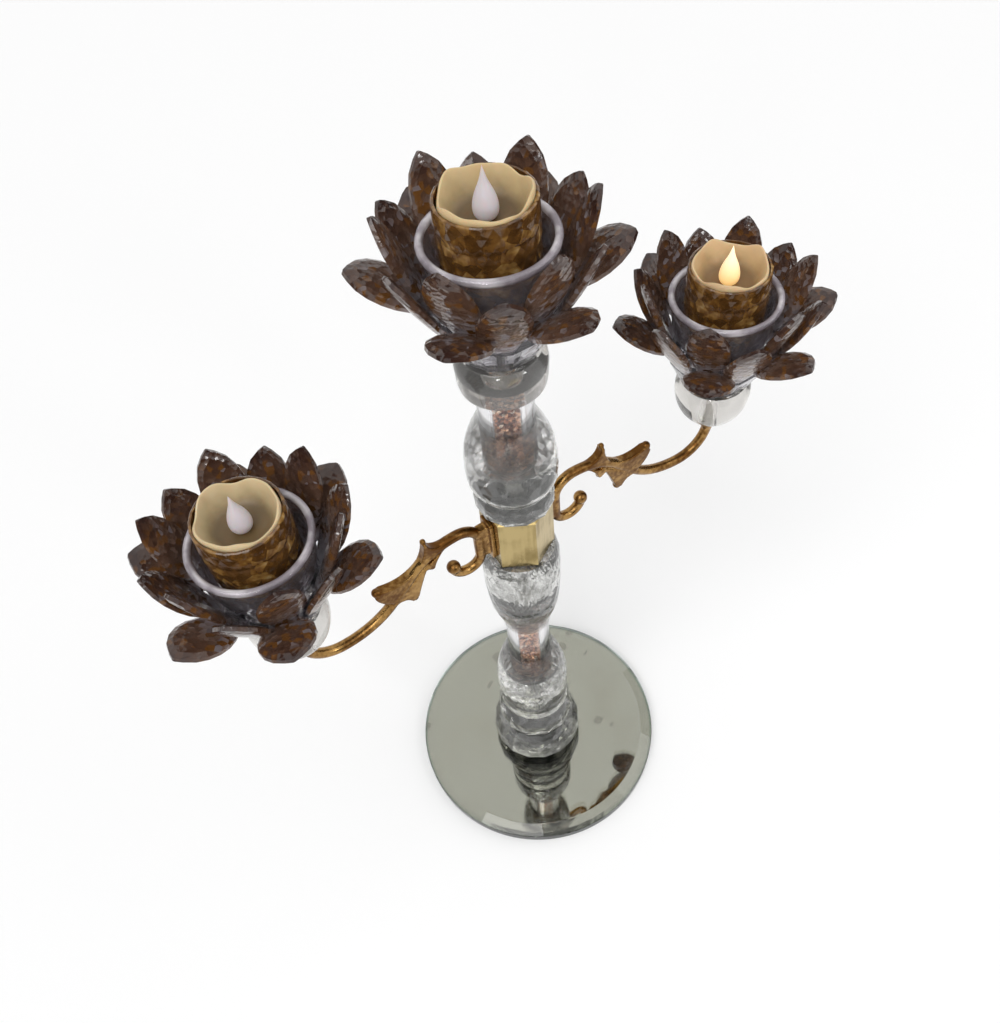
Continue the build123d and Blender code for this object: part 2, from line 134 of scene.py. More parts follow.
table_glow = 0.16
table_paint = bpy.data.materials.new("table_paint")
table_paint.use_nodes = True
table_shader = table_paint.node_tree.nodes["Principled BSDF"]
table_shader.inputs["Base Color"].default_value = (0.8, 0.8, 0.8, 1)
table_shader.inputs["Roughness"].default_value = 0.9
table_shader.inputs["Specular IOR Level"].default_value = 0.1
table_shader.inputs["Emission Color"].default_value = (1, 1, 1, 1)
table_shine = table_glow * seen_by_eye(table_paint.node_tree)
table_paint.node_tree.links.new(table_shine.socket, table_shader.inputs["Emission Strength"])


def flat_card(name, size, place, made):
    """A flat stage card of one face."""
    sheet = bmesh.new()
    bmesh.ops.create_grid(
        sheet, x_segments=1, y_segments=1, size=0.5, matrix=place @ Matrix.Diagonal((*size, 1, 1))
    )
    mesh = bpy.data.meshes.new(name)
    sheet.to_mesh(mesh)
    mesh.materials.append(made)
    card = bpy.data.objects.new(name, mesh)
    bpy.context.scene.collection.objects.link(card)
    return card


flat_card("table", (40, 40), Matrix.Identity(4), table_paint)

card_paint = bpy.data.materials.new("card_paint")
card_paint.use_nodes = True
card_paint.node_tree.nodes["Principled BSDF"].inputs["Base Color"].default_value = (0.04, 0.04, 0.045, 1)
card_paint.node_tree.nodes["Principled BSDF"].inputs["Roughness"].default_value = 1.0
for name, distance, turn in (("card_left", 0.9, 90), ("card_right", 0.9, -90), ("card_front", 1.3, 180)):
    place = Matrix.Rotation(radians(turn), 4, "Z") @ Matrix.Translation((0, distance, 0.45))
    card = flat_card(name, (0.7, 0.8), place @ Matrix.Rotation(radians(90), 4, "X"), card_paint)
    card.visible_camera = False
    card.visible_diffuse = False
    card.visible_shadow = False

for name, towards, energy, spread in (
    ("lamp_left", (-0.55, -0.35, 0.85), 1.25, 0.7),
    ("lamp_right", (0.7, -0.2, 0.6), 0.45, 0.9),
):
    lamp = bpy.data.lights.new(name, "SUN")
    lamp.energy = energy
    lamp.angle = spread
    lamp_object = bpy.data.objects.new(name, lamp)
    lamp_object.rotation_euler = Vector(towards).to_track_quat("Z", "Y").to_euler()
    bpy.context.scene.collection.objects.link(lamp_object)

for name, spot in (("glint_left", (-0.6, -0.75, 0.85)), ("glint_right", (0.35, -0.8, 0.75))):
    lamp = bpy.data.lights.new(name, "AREA")
    lamp.energy = 0.8
    lamp.size = 0.12
    lamp_object = bpy.data.objects.new(name, lamp)
    lamp_object.location = spot
    lamp_object.rotation_euler = (Vector(spot) - Vector((0, 0, 0.3))).to_track_quat("Z", "Y").to_euler()
    bpy.context.scene.collection.objects.link(lamp_object)


# Base: a round mirror of thick float glass with a wide ground bevel. The silver and its grey backing paint
# are films on the underside, and three pairs of felt pads are stuck on them.
def spun(outline, centre=(0, 0), steps=96):
    """A turned body: a closed outline in radius and height, spun about the upright through centre."""
    body = bmesh.new()
    points = [body.verts.new((centre[0] + radius, centre[1], height)) for radius, height in outline]
    edges = [body.edges.new(pair) for pair in zip(points, points[1:] + points[:1])]
    bmesh.ops.spin(
        body,
        geom=points + edges,
        cent=(*centre, 0),
        axis=(0, 0, 1),
        angle=2 * pi,
        steps=steps,
        use_merge=True,
    )
    bmesh.ops.remove_doubles(body, verts=body.verts, dist=1e-6)
    bmesh.ops.recalc_face_normals(body, faces=body.faces)
    return body


def settle(name, body, made, rides, stands_for=(), crease=30):
    """Turns a finished bmesh into a piece that rides on a body and stands for its CAD nodes."""
    mesh = bpy.data.meshes.new(name)
    for face in body.faces:
        face.smooth = True
    body.to_mesh(mesh)
    body.free()
    mesh.set_sharp_from_angle(angle=radians(crease))
    mesh.materials.append(made)
    piece = bpy.data.objects.new(name, mesh)
    bpy.context.scene.collection.objects.link(piece)
    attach(piece, rides)
    if stands_for:
        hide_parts(*stands_for)
    return piece


def finish(name, centre=(0, 0, 0), **even):
    """A new material with its even sockets set, and its pattern's coordinates centred on the piece."""
    made = bpy.data.materials.new(name)
    made.use_nodes = True
    for socket, value in even.items():
        made.node_tree.nodes["Principled BSDF"].inputs[socket.replace("_", " ")].default_value = value
    place = Value(made.node_tree).node("TexCoord", {}, {}, "Object")
    return made, place.node("Mapping", {}, {"Vector": place, "Location": [-c for c in centre]})


def vary(made, **sockets):
    """Feeds the shader's sockets that change over the surface."""
    for socket, value in sockets.items():
        shader = made.node_tree.nodes["Principled BSDF"]
        made.node_tree.links.new(value.socket, shader.inputs[socket.replace("_", " ")])


def blend(factor, low, high):
    """Mixes two colours."""
    return factor.node("Mix", {"data_type": "RGBA"}, {0: factor, 6: low, 7: high}, 2)


def noise(place, scale, detail=2.0):
    return place.node("TexNoise", {}, {"Vector": place, "Scale": scale, "Detail": detail})


def cells(place, size):
    """Random cells about size across: how far a point is from its cell's middle, and the cell's number."""
    sockets = {"Vector": place, "Scale": 1 / size}
    colour = place.node("TexVoronoi", {"feature": "F1"}, sockets, "Color")
    return (
        place.node("TexVoronoi", {"feature": "F1"}, sockets, "Distance"),
        colour.node("SeparateColor", {}, {"Color": colour}, 0),
    )


def bumped(height, depth, strength=1.0):
    return height.node("Bump", {}, {"Height": height, "Distance": depth, "Strength": strength})


def around(place):
    """How far a point is from the upright through the pattern's centre."""
    flat = place.node("VectorMath", {"operation": "MULTIPLY"}, {0: place, 1: (1, 1, 0)})
    return flat.node("VectorMath", {"operation": "LENGTH"}, {0: flat}, "Value")


def between(value, low, high):
    """Climbs smoothly from nought at low to one at high."""
    settings = {"interpolation_type": "SMOOTHSTEP"}
    return value.node("MapRange", settings, {"Value": value, "From Min": low, "From Max": high})


base_radius = 0.0875
base_low, base_high = 0.0015, 0.0115
bevel_inner = 0.0785
mirror_glass, place = finish("mirror_glass", Roughness=0.01, IOR=1.52, Transmission_Weight=1.0)
rim = between(around(place), 0.0845, base_radius)
vary(
    mirror_glass,
    Base_Color=blend(rim, (0.86, 0.87, 0.83, 1), (0.52, 0.62, 0.57, 1)),
    Normal=bumped(noise(place, 9.0), 0.0006, 0.35),
)
mirror_body = spun(
    [
        (0.0028, base_low + 0.0052),
        (0.008, base_low + 0.0052),
        (0.008, base_low + 0.0002),
        (base_radius - 0.0005, base_low + 0.0002),
        (base_radius, base_low + 0.0007),
        (base_radius, base_high - 0.0034),
        (base_radius - 0.0004, base_high - 0.0029),
        (bevel_inner + 0.0006, base_high - 0.0001),
        (bevel_inner, base_high),
        (0.0028, base_high),
    ],
    steps=160,
)
settle("mirror_glass_disc", mirror_body, mirror_glass, "stand", ["base_mirror"], 8)

silver, place = finish("silver_film", Metallic=1.0, Roughness=0.03)
haze = between(noise(place, 26.0, 4.0), 0.45, 0.75)
specks = cells(place, 0.006)[1] > 0.985
worn = blend(haze, (0.43, 0.425, 0.38, 1), (0.40, 0.39, 0.34, 1))
vary(silver, Base_Color=blend(specks, worn, (0.30, 0.29, 0.25, 1)), Roughness=0.02 + 0.04 * haze)
film_outline = [
    (0.0082, 0.0), (base_radius - 0.0008, 0.0), (base_radius - 0.0008, 0.00007), (0.0082, 0.00007)
]
film_body = spun([(radius, base_low + 0.0001 + height) for radius, height in film_outline], steps=160)
settle("mirror_silver", film_body, silver, "stand")

backing, place = finish("backing_paint", Roughness=0.7)
mottle = noise(place, 240.0, 3.0)
vary(
    backing,
    Base_Color=blend(mottle, (0.22, 0.23, 0.24, 1), (0.30, 0.31, 0.32, 1)),
    Normal=bumped(mottle, 0.0002),
)
paint_body = spun([(radius, base_low + height) for radius, height in film_outline], steps=160)
settle("mirror_paint", paint_body, backing, "stand")


def dress(made, *names):
    """Gives CAD nodes their finish."""
    for name in names:
        nodes[name].data.materials.clear()
        nodes[name].data.materials.append(made)


felt, place = finish("felt", Roughness=0.95, Sheen_Weight=0.4)
fibres = noise(place, 1400.0, 4.0)
vary(
    felt,
    Base_Color=blend(fibres, (0.03, 0.03, 0.032, 1), (0.10, 0.10, 0.105, 1)),
    Normal=bumped(fibres, 0.0004),
)
dress(felt, "base_pads")


# Stem crystal: pressed lead-free crystal, ground to flat facets and fire polished. The foot, the rondelle
# and the block are cut in straight flats, the cups and the pear in rows of lozenges.
def crystal(name, centre, light, dark, facet, window=None):
    """Clear crystal with painted shade and painted light: its colour is greyer or paler from facet to facet,
    standing in for where cut glass turns the light away or throws it back. A window is a pair of heights
    between which the glass clears, so that the stones inside show."""
    made, place = finish(name, centre, IOR=1.5, Transmission_Weight=0.85)
    shape, lot = cells(place, facet)
    streaks_and_shade = noise(place, 160.0, 2.0)
    # Base colour: painted shade and painted light from facet to facet, not a tint of the glass.
    shade = between(0.7 * lot + 0.5 * streaks_and_shade, 0.25, 0.95)
    vary(
        made,
        Base_Color=blend(shade, dark, light),
        Roughness=0.015 + 0.05 * streaks_and_shade,
        Normal=bumped(shape, 0.0009, 0.45),
    )
    if window:
        height = place.node("SeparateXYZ", {}, {"Vector": place}, "Z")
        vary(made, Alpha=1 - 0.6 * between(height, *window))
    return made


def half_turned(rings, sides, hollow=True):
    """A cut body: rings of corners, the marked ones turned half a step.

    A hollow one is closed from its last ring to its first."""
    body = bmesh.new()
    loops = []
    for height, radius, turned in rings:
        place = Matrix.Translation((0, 0, height)) @ Matrix.Rotation(pi / sides * turned, 4, "Z")
        corners = bmesh.ops.create_circle(body, segments=sides, radius=radius, matrix=place)["verts"]
        loops.append(list({edge for corner in corners for edge in corner.link_edges}))
    for low, high in zip(loops, loops[1:] + loops[:hollow]):
        bmesh.ops.bridge_loops(body, edges=low + high)
    bmesh.ops.remove_doubles(body, verts=body.verts, dist=0.00002)
    bmesh.ops.triangulate(body, faces=body.faces, quad_method="SHORT_EDGE")
    bmesh.ops.recalc_face_normals(body, faces=body.faces)
    return body


# Facet colours of the cut crystal: painted light and painted shade, not tints of the glass.
stem_lit_facet, stem_shaded_facet = (0.88, 0.88, 0.86, 1), (0.36, 0.36, 0.34, 1)
stem_crystal = crystal("stem_crystal", (0, 0, 0.2), stem_lit_facet, stem_shaded_facet, 0.006)
dress(stem_crystal, "foot_glass", "lower_rondelle", "facet_block")

socket = 0.01405
lower_cup_rings = [
    (0.0686, 0.0224, 0), (0.0706, 0.0242, 1), (0.0820, 0.0242, 1), (0.0840, 0.0228, 0), (0.0860, 0.0244, 1),
    (0.0955, 0.0244, 0), (0.1050, 0.0244, 1), (0.1135, 0.0230, 0), (0.1200, 0.0214, 1), (0.1260, 0.0196, 0),
    (0.1310, 0.0180, 1), (0.1355, 0.0163, 0), (0.1370, 0.0158, 0), (0.1370, socket, 0), (0.1120, socket, 0),
    (0.1120, 0.0029, 0), (0.0686, 0.0029, 0),
]
lower_cup_crystal = crystal(
    "lower_cup_crystal", (0, 0, 0.13), stem_lit_facet, stem_shaded_facet, 0.006, (-0.014, -0.002)
)
settle(
    "lower_cup_cut",
    half_turned(lower_cup_rings, 20),
    lower_cup_crystal,
    "stand",
    ["lower_cup"],
    5,
)

pear_rings = [
    (0.1780, 0.0154, 0), (0.1860, 0.0166, 1), (0.1935, 0.0189, 0), (0.2010, 0.0208, 1), (0.2095, 0.0217, 0),
    (0.2180, 0.0224, 1), (0.2270, 0.0227, 0), (0.2360, 0.0229, 1), (0.2440, 0.0229, 0), (0.2510, 0.0226, 1),
    (0.2580, 0.0206, 0), (0.2580, 0.0029, 0), (0.2040, 0.0029, 0), (0.2040, socket, 0), (0.1780, socket, 0),
]
pear_crystal = crystal("pear_crystal", (0, 0, 0.2), stem_lit_facet, stem_shaded_facet, 0.006, (0.0, -0.014))
settle("pear_cut", half_turned(pear_rings, 20), pear_crystal, "stand", ["pear_glass"], 5)

upper_cup_rings = [
    (0.3176, 0.0214, 0), (0.3225, 0.0236, 1), (0.3310, 0.0240, 0), (0.3380, 0.0236, 1), (0.3445, 0.0228, 0),
    (0.3498, 0.0216, 1), (0.3545, 0.0200, 0), (0.3590, 0.0182, 1), (0.3630, 0.0162, 0), (0.3630, socket, 0),
    (0.3350, socket, 0), (0.3350, 0.0029, 0), (0.3176, 0.0029, 0),
]
upper_cup_crystal = crystal("upper_cup_crystal", (0, 0, 0.35), stem_lit_facet, stem_shaded_facet, 0.006, (-0.014, 0.002))
settle(
    "upper_cup_cut",
    half_turned(upper_cup_rings, 20),
    upper_cup_crystal,
    "stand",
    ["upper_cup"],
    5,
)

# Neck ball and side balls: smooth blown crystal, thick enough to bend what stands behind them. A hexagon
# brass coupler joins the rod inside the neck ball, whose underside is drawn up short round the tube.
ball_glass, place = finish("ball_glass", (0, 0, 0.39), IOR=1.45, Transmission_Weight=0.85)
ripple_and_shade = noise(place, 38.0, 1.0)
# Base colour: grey and pale patches along the ripples, painted shade and painted glints in the clear glass.
vary(
    ball_glass,
    Base_Color=blend(between(ripple_and_shade, 0.35, 0.7), (0.66, 0.64, 0.61, 1), (0.95, 0.93, 0.90, 1)),
    Roughness=0.01 + 0.04 * ripple_and_shade,
    Normal=bumped(ripple_and_shade, 0.0014, 0.5),
)
dress(ball_glass, "side_balls")
ball_waist, ball_bottom, ball_socket_rim = 0.391, 0.377, 0.386
ball = bmesh.new()
ball.from_mesh(nodes["neck_ball"].data)
bmesh.ops.remove_doubles(ball, verts=ball.verts, dist=1e-5)
for corner in ball.verts:
    if corner.co.z < ball_waist:
        below = (ball_waist - corner.co.z) / (ball_waist - ball_bottom)
        corner.co.z = ball_waist - below * (ball_waist - ball_socket_rim)
settle("neck_ball_blown", ball, ball_glass, "stand", ["neck_ball"], 30)

# Tubes: thick walled drawn glass, filled with crushed copper stones round the rod.
tube_glass, place = finish("tube_glass", IOR=1.5, Transmission_Weight=1.0)
draw_lines = place.node("Mapping", {}, {"Vector": place, "Scale": (1, 1, 0.05)})
drawn = noise(draw_lines, 160.0, 1.0)
vary(
    tube_glass,
    Base_Color=blend(drawn, (0.80, 0.79, 0.80, 1), (0.95, 0.95, 0.96, 1)),
    Roughness=0.01 + 0.03 * drawn,
    Normal=bumped(drawn, 0.0002, 0.4),
)
dress(tube_glass, "lower_tube", "upper_tube")

stone_finish, place = finish("copper_stones", Metallic=0.6)
stone_lot = place.node("Attribute", {"attribute_name": "lot"}, {}, "Fac")
stone_ramp = [
    (0.0, (0.20, 0.075, 0.045)), (0.35, (0.62, 0.28, 0.16)), (0.75, (0.92, 0.54, 0.33)),
    (1.0, (1.0, 0.88, 0.74)),
]
vary(
    stone_finish,
    Base_Color=stone_lot.node("ValToRGB", {"stops": stone_ramp}, {"Fac": stone_lot}),
    Roughness=0.18 + 0.2 * noise(place, 900.0),
)


stone_size, stone_gap, stone_row, stones_round = 0.00125, 0.00005, 0.0019, 17


def crushed_column(low, high):
    """A sleeve of small angular stones, each with its own shape, turn and brightness."""
    heap = spun([(0.0029, low), (0.0052, low), (0.0052, high), (0.0029, high)], steps=24)
    lot = heap.verts.layers.float.new("lot")
    for row in range(int((high - low) / stone_row)):
        for seat in range(stones_round):
            angle = 2 * pi * (seat + random.random()) / stones_round
            radius = random.uniform(0.0056, 0.0061)
            height = low + stone_row * (row + random.random())
            height = min(max(height, low + stone_size + stone_gap), high - stone_size - stone_gap)
            turn = Matrix.Rotation(
                random.uniform(0, pi), 4, Vector((random.random(), random.random(), 1)).normalized()
            )
            shape = Matrix.Diagonal([random.uniform(0.6, 1.0) for axis in range(3)]).to_4x4()
            spot = Matrix.Translation((radius * cos(angle), radius * sin(angle), height))
            stone = bmesh.ops.create_icosphere(
                heap, subdivisions=1, radius=stone_size, matrix=spot @ turn @ shape
            )
            value = random.random()
            for corner in stone["verts"]:
                corner[lot] = value
    return heap


random.seed(11)
settle(
    "lower_stone_fill",
    crushed_column(0.112, 0.202),
    stone_finish,
    "stand",
    ["lower_stones"],
    5,
)
settle(
    "upper_stone_fill",
    crushed_column(0.335, 0.394),
    stone_finish,
    "stand",
    ["upper_stones"],
    5,
)

# Rod, studs and nuts: zinc plated steel. Between the glass pieces lie clear silicone washers.
zinc, place = finish("zinc_steel", Metallic=1.0)
spangle = cells(place, 0.0012)[1]
vary(
    zinc,
    Base_Color=blend(spangle, (0.52, 0.51, 0.48, 1), (0.72, 0.71, 0.68, 1)),
    Roughness=0.28 + 0.15 * spangle,
    Normal=bumped(noise(place, 1500.0), 0.00008),
)
dress(zinc, "centre_rod", "side_studs", "arm_studs", "nuts")

washer, place = finish("clear_washer", Roughness=0.3, IOR=1.41, Transmission_Weight=0.8)
cloud = noise(place, 300.0)
vary(
    washer,
    Base_Color=blend(cloud, (0.70, 0.70, 0.69, 1), (0.85, 0.85, 0.84, 1)),
    Normal=bumped(cloud, 0.0001),
)
dress(washer, "gaskets")


# Collar and arms: yellow brass. The collar is milled and lacquered bright. The arms are sand cast, then
# tumbled and browned, so that the gold is left where they were rubbed. On both, the bright patches are
# also painted highlights.
def brass(name, deep, bright, rub, grain, rough):
    """Brass browned and bright in random patches; the bright ones are rubbed gold and also painted
    highlights.
    """
    made, place = finish(name, Metallic=1.0)
    patches = noise(place, 55.0, 4.0)
    fine = noise(place.node("Mapping", {}, {"Vector": place, "Scale": grain}), 420.0, 3.0)
    # The bright patches are rubbed brass and also painted highlights.
    rub_and_sheen = between(patches + 0.5 * fine, rub, rub + 0.4)
    vary(
        made,
        Base_Color=blend(rub_and_sheen, deep, bright),
        Roughness=rough + 0.14 * (1 - rub_and_sheen),
        Normal=bumped(fine, 0.00012, 0.6),
    )
    return made


collar_brass = brass("collar_brass", (0.26, 0.19, 0.07, 1), (0.48, 0.37, 0.17, 1), 0.5, (1, 1, 0.06), 0.2)
dress(collar_brass, "collar", "top_coupler")

arm_brass = brass("arm_brass", (0.12, 0.050, 0.012, 1), (0.40, 0.235, 0.080, 1), 0.6, (1, 1, 1), 0.22)
dress(arm_brass, "pans")


def cast_copy(node, grain, passes):
    """A node's shape with the soft corners of a casting."""
    body = bmesh.new()
    body.from_mesh(nodes[node].data)
    bmesh.ops.remove_doubles(body, verts=body.verts, dist=1e-5)
    mesh = bpy.data.meshes.new("pattern")
    body.to_mesh(mesh)
    pattern = bpy.data.objects.new("pattern", mesh)
    bpy.context.scene.collection.objects.link(pattern)
    skin = pattern.modifiers.new("skin", "REMESH")
    skin.mode = "VOXEL"
    skin.voxel_size = grain
    tumble = pattern.modifiers.new("tumble", "SMOOTH")
    tumble.factor = 0.5
    tumble.iterations = passes
    cast = pattern.evaluated_get(bpy.context.evaluated_depsgraph_get())
    body.clear()
    body.from_mesh(cast.to_mesh())
    bpy.data.objects.remove(pattern)
    return body


settle(
    "arm_right_cast", cast_copy("arm_right", 0.0005, 5), arm_brass, "stand", ["arm_right"], 60
)
settle("arm_left_cast", cast_copy("arm_left", 0.0005, 5), arm_brass, "stand", ["arm_left"], 60)


# Flower heads: each stands on its seat, on the stem's axis or at an arm's end. The petals are pressed
# crystal almonds with a browned coat that fades out towards the root, glued round the calyx in three rings.
def almond(share):
    """A petal's width at a share of its length, as a share of the widest."""
    stations = (
        (0.0, 0.34),
        (0.2, 0.58),
        (0.42, 0.92),
        (0.58, 1.0),
        (0.74, 0.92),
        (0.88, 0.62),
        (0.97, 0.22),
        (1.0, 0.0),
    )
    for (near, narrow), (far, wide) in zip(stations, stations[1:]):
        if share <= far:
            return narrow + (wide - narrow) * (share - near) / (far - near)
    return 0.0


def drawn_out(body, face):
    """Extrudes one face and gives the new one at its end."""
    grown = bmesh.ops.extrude_face_region(body, geom=[face])["geom"]
    return next(part for part in grown if isinstance(part, bmesh.types.BMFace))


def petal(length, half_width, thickness, bend):
    """One petal along +X: a girdle, two rows of facets and a fan of tables on each side, bent to an arc."""
    body = bmesh.new()
    reach = body.verts.layers.float.new("reach")
    girdle = 0.0009
    middle = 0.58 * length
    outline = bmesh.ops.create_circle(body, cap_ends=True, segments=22, radius=1)["verts"]
    for corner in outline:
        share = (1 + corner.co.x) / 2
        at_an_end = share < 0.001 or share > 0.999
        width = 0.0 if at_an_end else copysign(almond(share), corner.co.y) * half_width
        corner.co = (share * length, width, -girdle)
    under = body.faces[:][0]
    over = drawn_out(body, under)
    for corner in over.verts:
        corner.co.z = girdle
    crown = thickness / 2 - girdle
    tables = []
    for side, table in ((-1, under), (1, over)):
        for shrink, height in ((0.82, girdle + 0.6 * crown), (0.66, girdle + 0.86 * crown)):
            table = drawn_out(body, table)
            for corner in table.verts:
                corner.co.x = middle + (corner.co.x - middle) * shrink
                corner.co.y *= shrink
                corner.co.z = side * height
        tables.append(table)
    bmesh.ops.recalc_face_normals(body, faces=body.faces)
    bmesh.ops.poke(body, faces=tables, offset=0.14 * crown)
    bmesh.ops.bevel(
        body,
        geom=body.edges,
        offset=0.00014,
        segments=1,
        profile=0.5,
        affect="EDGES",
        material=-1,
        clamp_overlap=True,
    )
    arc_radius = length / 2 / sin(radians(bend) / 2)
    for corner in body.verts:
        share = corner.co.x / length
        corner[reach] = share
        slope = radians(bend) * (share - 0.5)
        corner.co.x = length / 2 + (arc_radius + corner.co.z) * sin(slope)
        corner.co.z = (arc_radius + corner.co.z) * cos(slope) - arc_radius * cos(radians(bend) / 2)
    mesh = bpy.data.meshes.new("petal")
    body.to_mesh(mesh)
    body.free()
    return mesh


def petal_ring(mesh, length, root, tips, seat):
    """A ring of petals from one root. Each tip is a turn about the seat, a radius and a height over it."""
    ring = bmesh.new()
    ring.verts.layers.float.new("reach")
    lot = ring.verts.layers.float.new("lot")
    for turn, reach, height in tips:
        tilt = atan2(height - root[1], reach - root[0])
        stretch = Matrix.Diagonal((hypot(reach - root[0], height - root[1]) / length, 1, 1, 1))
        stand = Matrix.Translation((root[0], 0, root[1])) @ Matrix.Rotation(-tilt, 4, "Y") @ stretch
        before = len(ring.verts)
        ring.from_mesh(mesh)
        ring.verts.ensure_lookup_table()
        value = random.random()
        fresh = ring.verts[before:]
        for corner in fresh:
            corner[lot] = value
        place = Matrix.Translation(seat) @ Matrix.Rotation(radians(turn), 4, "Z") @ stand
        bmesh.ops.transform(ring, matrix=place, verts=fresh)
    return ring


smoky, place = finish("smoky_crystal", IOR=1.52, Transmission_Weight=0.5)
petal_reach = place.node("Attribute", {"attribute_name": "reach"}, {}, "Fac")
petal_lot = place.node("Attribute", {"attribute_name": "lot"}, {}, "Fac")
pits, pit_lot = cells(place, 0.0027)
depth_of_coat = petal_reach + 0.3 * pit_lot + 0.14 * petal_lot - 0.22
coat_ramp = [
    (0.0, (0.80, 0.77, 0.82)), (0.24, (0.60, 0.54, 0.56)), (0.46, (0.32, 0.21, 0.16)),
    (0.66, (0.18, 0.095, 0.060)), (1.0, (0.060, 0.026, 0.019)),
]
coat = depth_of_coat.node("ValToRGB", {"stops": coat_ramp}, {"Fac": depth_of_coat})
# Painted glints: a few cells are painted amber and a few silver grey, where the facets would catch the light.
painted_amber_glints = (pit_lot > 0.84) * between(petal_reach, 0.1, 0.35) * (1 - between(petal_reach, 0.8, 0.97))
painted_silver_glints = (pit_lot < 0.07) * (1 - between(petal_reach, 0.7, 0.95))
vary(
    smoky,
    Base_Color=blend(painted_silver_glints, blend(painted_amber_glints, coat, (0.27, 0.115, 0.03, 1)), (0.34, 0.29, 0.30, 1)),
    Roughness=0.06 + 0.14 * noise(place, 260.0),
    Normal=bumped(pits, 0.0006, 0.5),
)

outer_root, middle_root, inner_root = (0.0226, 0.0240), (0.0232, 0.0176), (0.0230, 0.0210)
outer_reach = {"top": 0.0592, "right": 0.0587, "left": 0.0580}
middle_tip, inner_tip = (0.0478, 0.0640), (0.0442, 0.0740)
outer_length = hypot(outer_reach["top"] - outer_root[0], 0.0250)
middle_length = hypot(middle_tip[0] - middle_root[0], middle_tip[1] - middle_root[1])
inner_length = hypot(inner_tip[0] - inner_root[0], inner_tip[1] - inner_root[1])
outer_petal = petal(outer_length, 0.0134, 0.0062, 20)
middle_petal = petal(middle_length, 0.0114, 0.005, -6)
inner_petal = petal(inner_length, 0.0112, 0.005, -6)
seats = {"top": (0, 0, 0.4115), "right": (0.1322, 0, 0.3125), "left": (-0.1322, 0, 0.3125)}
outer_tips = {
    "top": ((-24, 0.0500), (36, 0.0490), (96, 0.0490), (155, 0.0500), (222, 0.0475), (278, 0.0480)),
    "right": ((-26, 0.0495), (36, 0.0490), (96, 0.0490), (158, 0.0500), (222, 0.0445), (276, 0.0475)),
    "left": ((-38, 0.0490), (24, 0.0490), (84, 0.0490), (148, 0.0490), (209, 0.0445), (262, 0.0445)),
}
inner_turn = {"top": -24, "right": -22, "left": -33}
for head, seat in seats.items():
    turns = [inner_turn[head] + 60 * number for number in range(6)]
    outer = [(turn, outer_reach[head], height) for turn, height in outer_tips[head]]
    for tier, mesh, length, root, tips in (
        ("outer", outer_petal, outer_length, outer_root, outer),
        ("middle", middle_petal, middle_length, middle_root, [(turn + 30, *middle_tip) for turn in turns]),
        ("inner", inner_petal, inner_length, inner_root, [(turn, *inner_tip) for turn in turns]),
    ):
        ring = petal_ring(mesh, length, root, tips, seat)
        settle(f"{tier}_ring_{head}", ring, smoky, "stand", [f"{tier}_petals_{head}"], 5)

# Calyx and bowl: the calyx is cut crystal like the stem. The bowl is blown and its lip is melted back to a
# thick roll, so that its wall ripples the view. The whiter lip is a painted highlight, and the roll's dark
# and bright patches are painted shade and painted glints.
lip_radius, lip_height, lip_thickness = 0.0293, 0.0573, 0.0036
for head, seat in seats.items():
    # Light and dark facet colours: painted light and painted shade.
    calyx_crystal = crystal(
        f"calyx_crystal_{head}", seat, (0.72, 0.70, 0.74, 1), (0.20, 0.19, 0.21, 1), 0.006
    )
    dress(calyx_crystal, f"calyx_{head}")
    bowl_glass, place = finish(f"bowl_glass_{head}", seat, IOR=1.45, Transmission_Weight=0.88)
    swirl = noise(place, 55.0, 2.0)
    # Painted highlight: the glass is painted whiter towards the lip.
    lip = between(place.node("SeparateXYZ", {}, {"Vector": place}, "Z"), 0.052, 0.0575)
    vary(
        bowl_glass,
        Base_Color=blend(lip, (0.82, 0.80, 0.85, 1), (0.97, 0.93, 0.97, 1)),
        Roughness=0.02 + 0.08 * swirl,
        Normal=bumped(swirl, 0.0022, 0.6),
    )
    dress(bowl_glass, f"bowl_{head}")
    lip_glass, place = finish(f"lip_glass_{head}", seat, IOR=1.5, Transmission_Weight=0.35)
    # Dark and bright patches on the roll: painted shade and painted glints.
    flow_shade_and_glints = noise(place, 90.0, 2.0)
    vary(
        lip_glass,
        Base_Color=blend(between(flow_shade_and_glints, 0.35, 0.65), (0.38, 0.33, 0.37, 1), (0.97, 0.93, 0.96, 1)),
        Roughness=0.03 + 0.06 * flow_shade_and_glints,
        Normal=bumped(flow_shade_and_glints, 0.0025, 0.7),
    )
    roll = lip_thickness / 2
    roll_turns = [2 * pi * number / 12 for number in range(12)]
    lip_outline = [
        (lip_radius - roll + roll * cos(turn), seat[2] + lip_height + roll * sin(turn)) for turn in roll_turns
    ]
    settle(f"lip_roll_{head}", spun(lip_outline, seat[:2], 96), lip_glass, "stand", crease=80)

# Votive cup: amber glass pressed in a hammered mould, loose in the bowl. Its rim comes up to just below the
# candle's.
cup_foot, cup_floor, cup_rim = 0.0295, 0.0322, 0.0765
cup_bore, cup_wall = 0.01945, 0.0010
hammer_rows = 11
hammer_step = (cup_rim - cup_floor - 0.0020) / hammer_rows
axis_point = 0.00001
cup_rings = [(cup_foot, axis_point, 0), (cup_foot, 0.0184, 0), (cup_floor - 0.0008, 0.0199, 1)]
for row in range(hammer_rows):
    bulge = 0.00035 * (row % 2)
    cup_rings.append(
        (cup_floor + 0.0010 + row * hammer_step, cup_bore + cup_wall + 0.00004 * row + bulge, row % 2)
    )
cup_rings += [
    (cup_rim - 0.0004, cup_bore + 0.0013, 1),
    (cup_rim, cup_bore + 0.0007, 1),
    (cup_rim - 0.0002, cup_bore, 1),
]
cup_rings += [(cup_floor, cup_bore, 1), (cup_floor, axis_point, 1)]
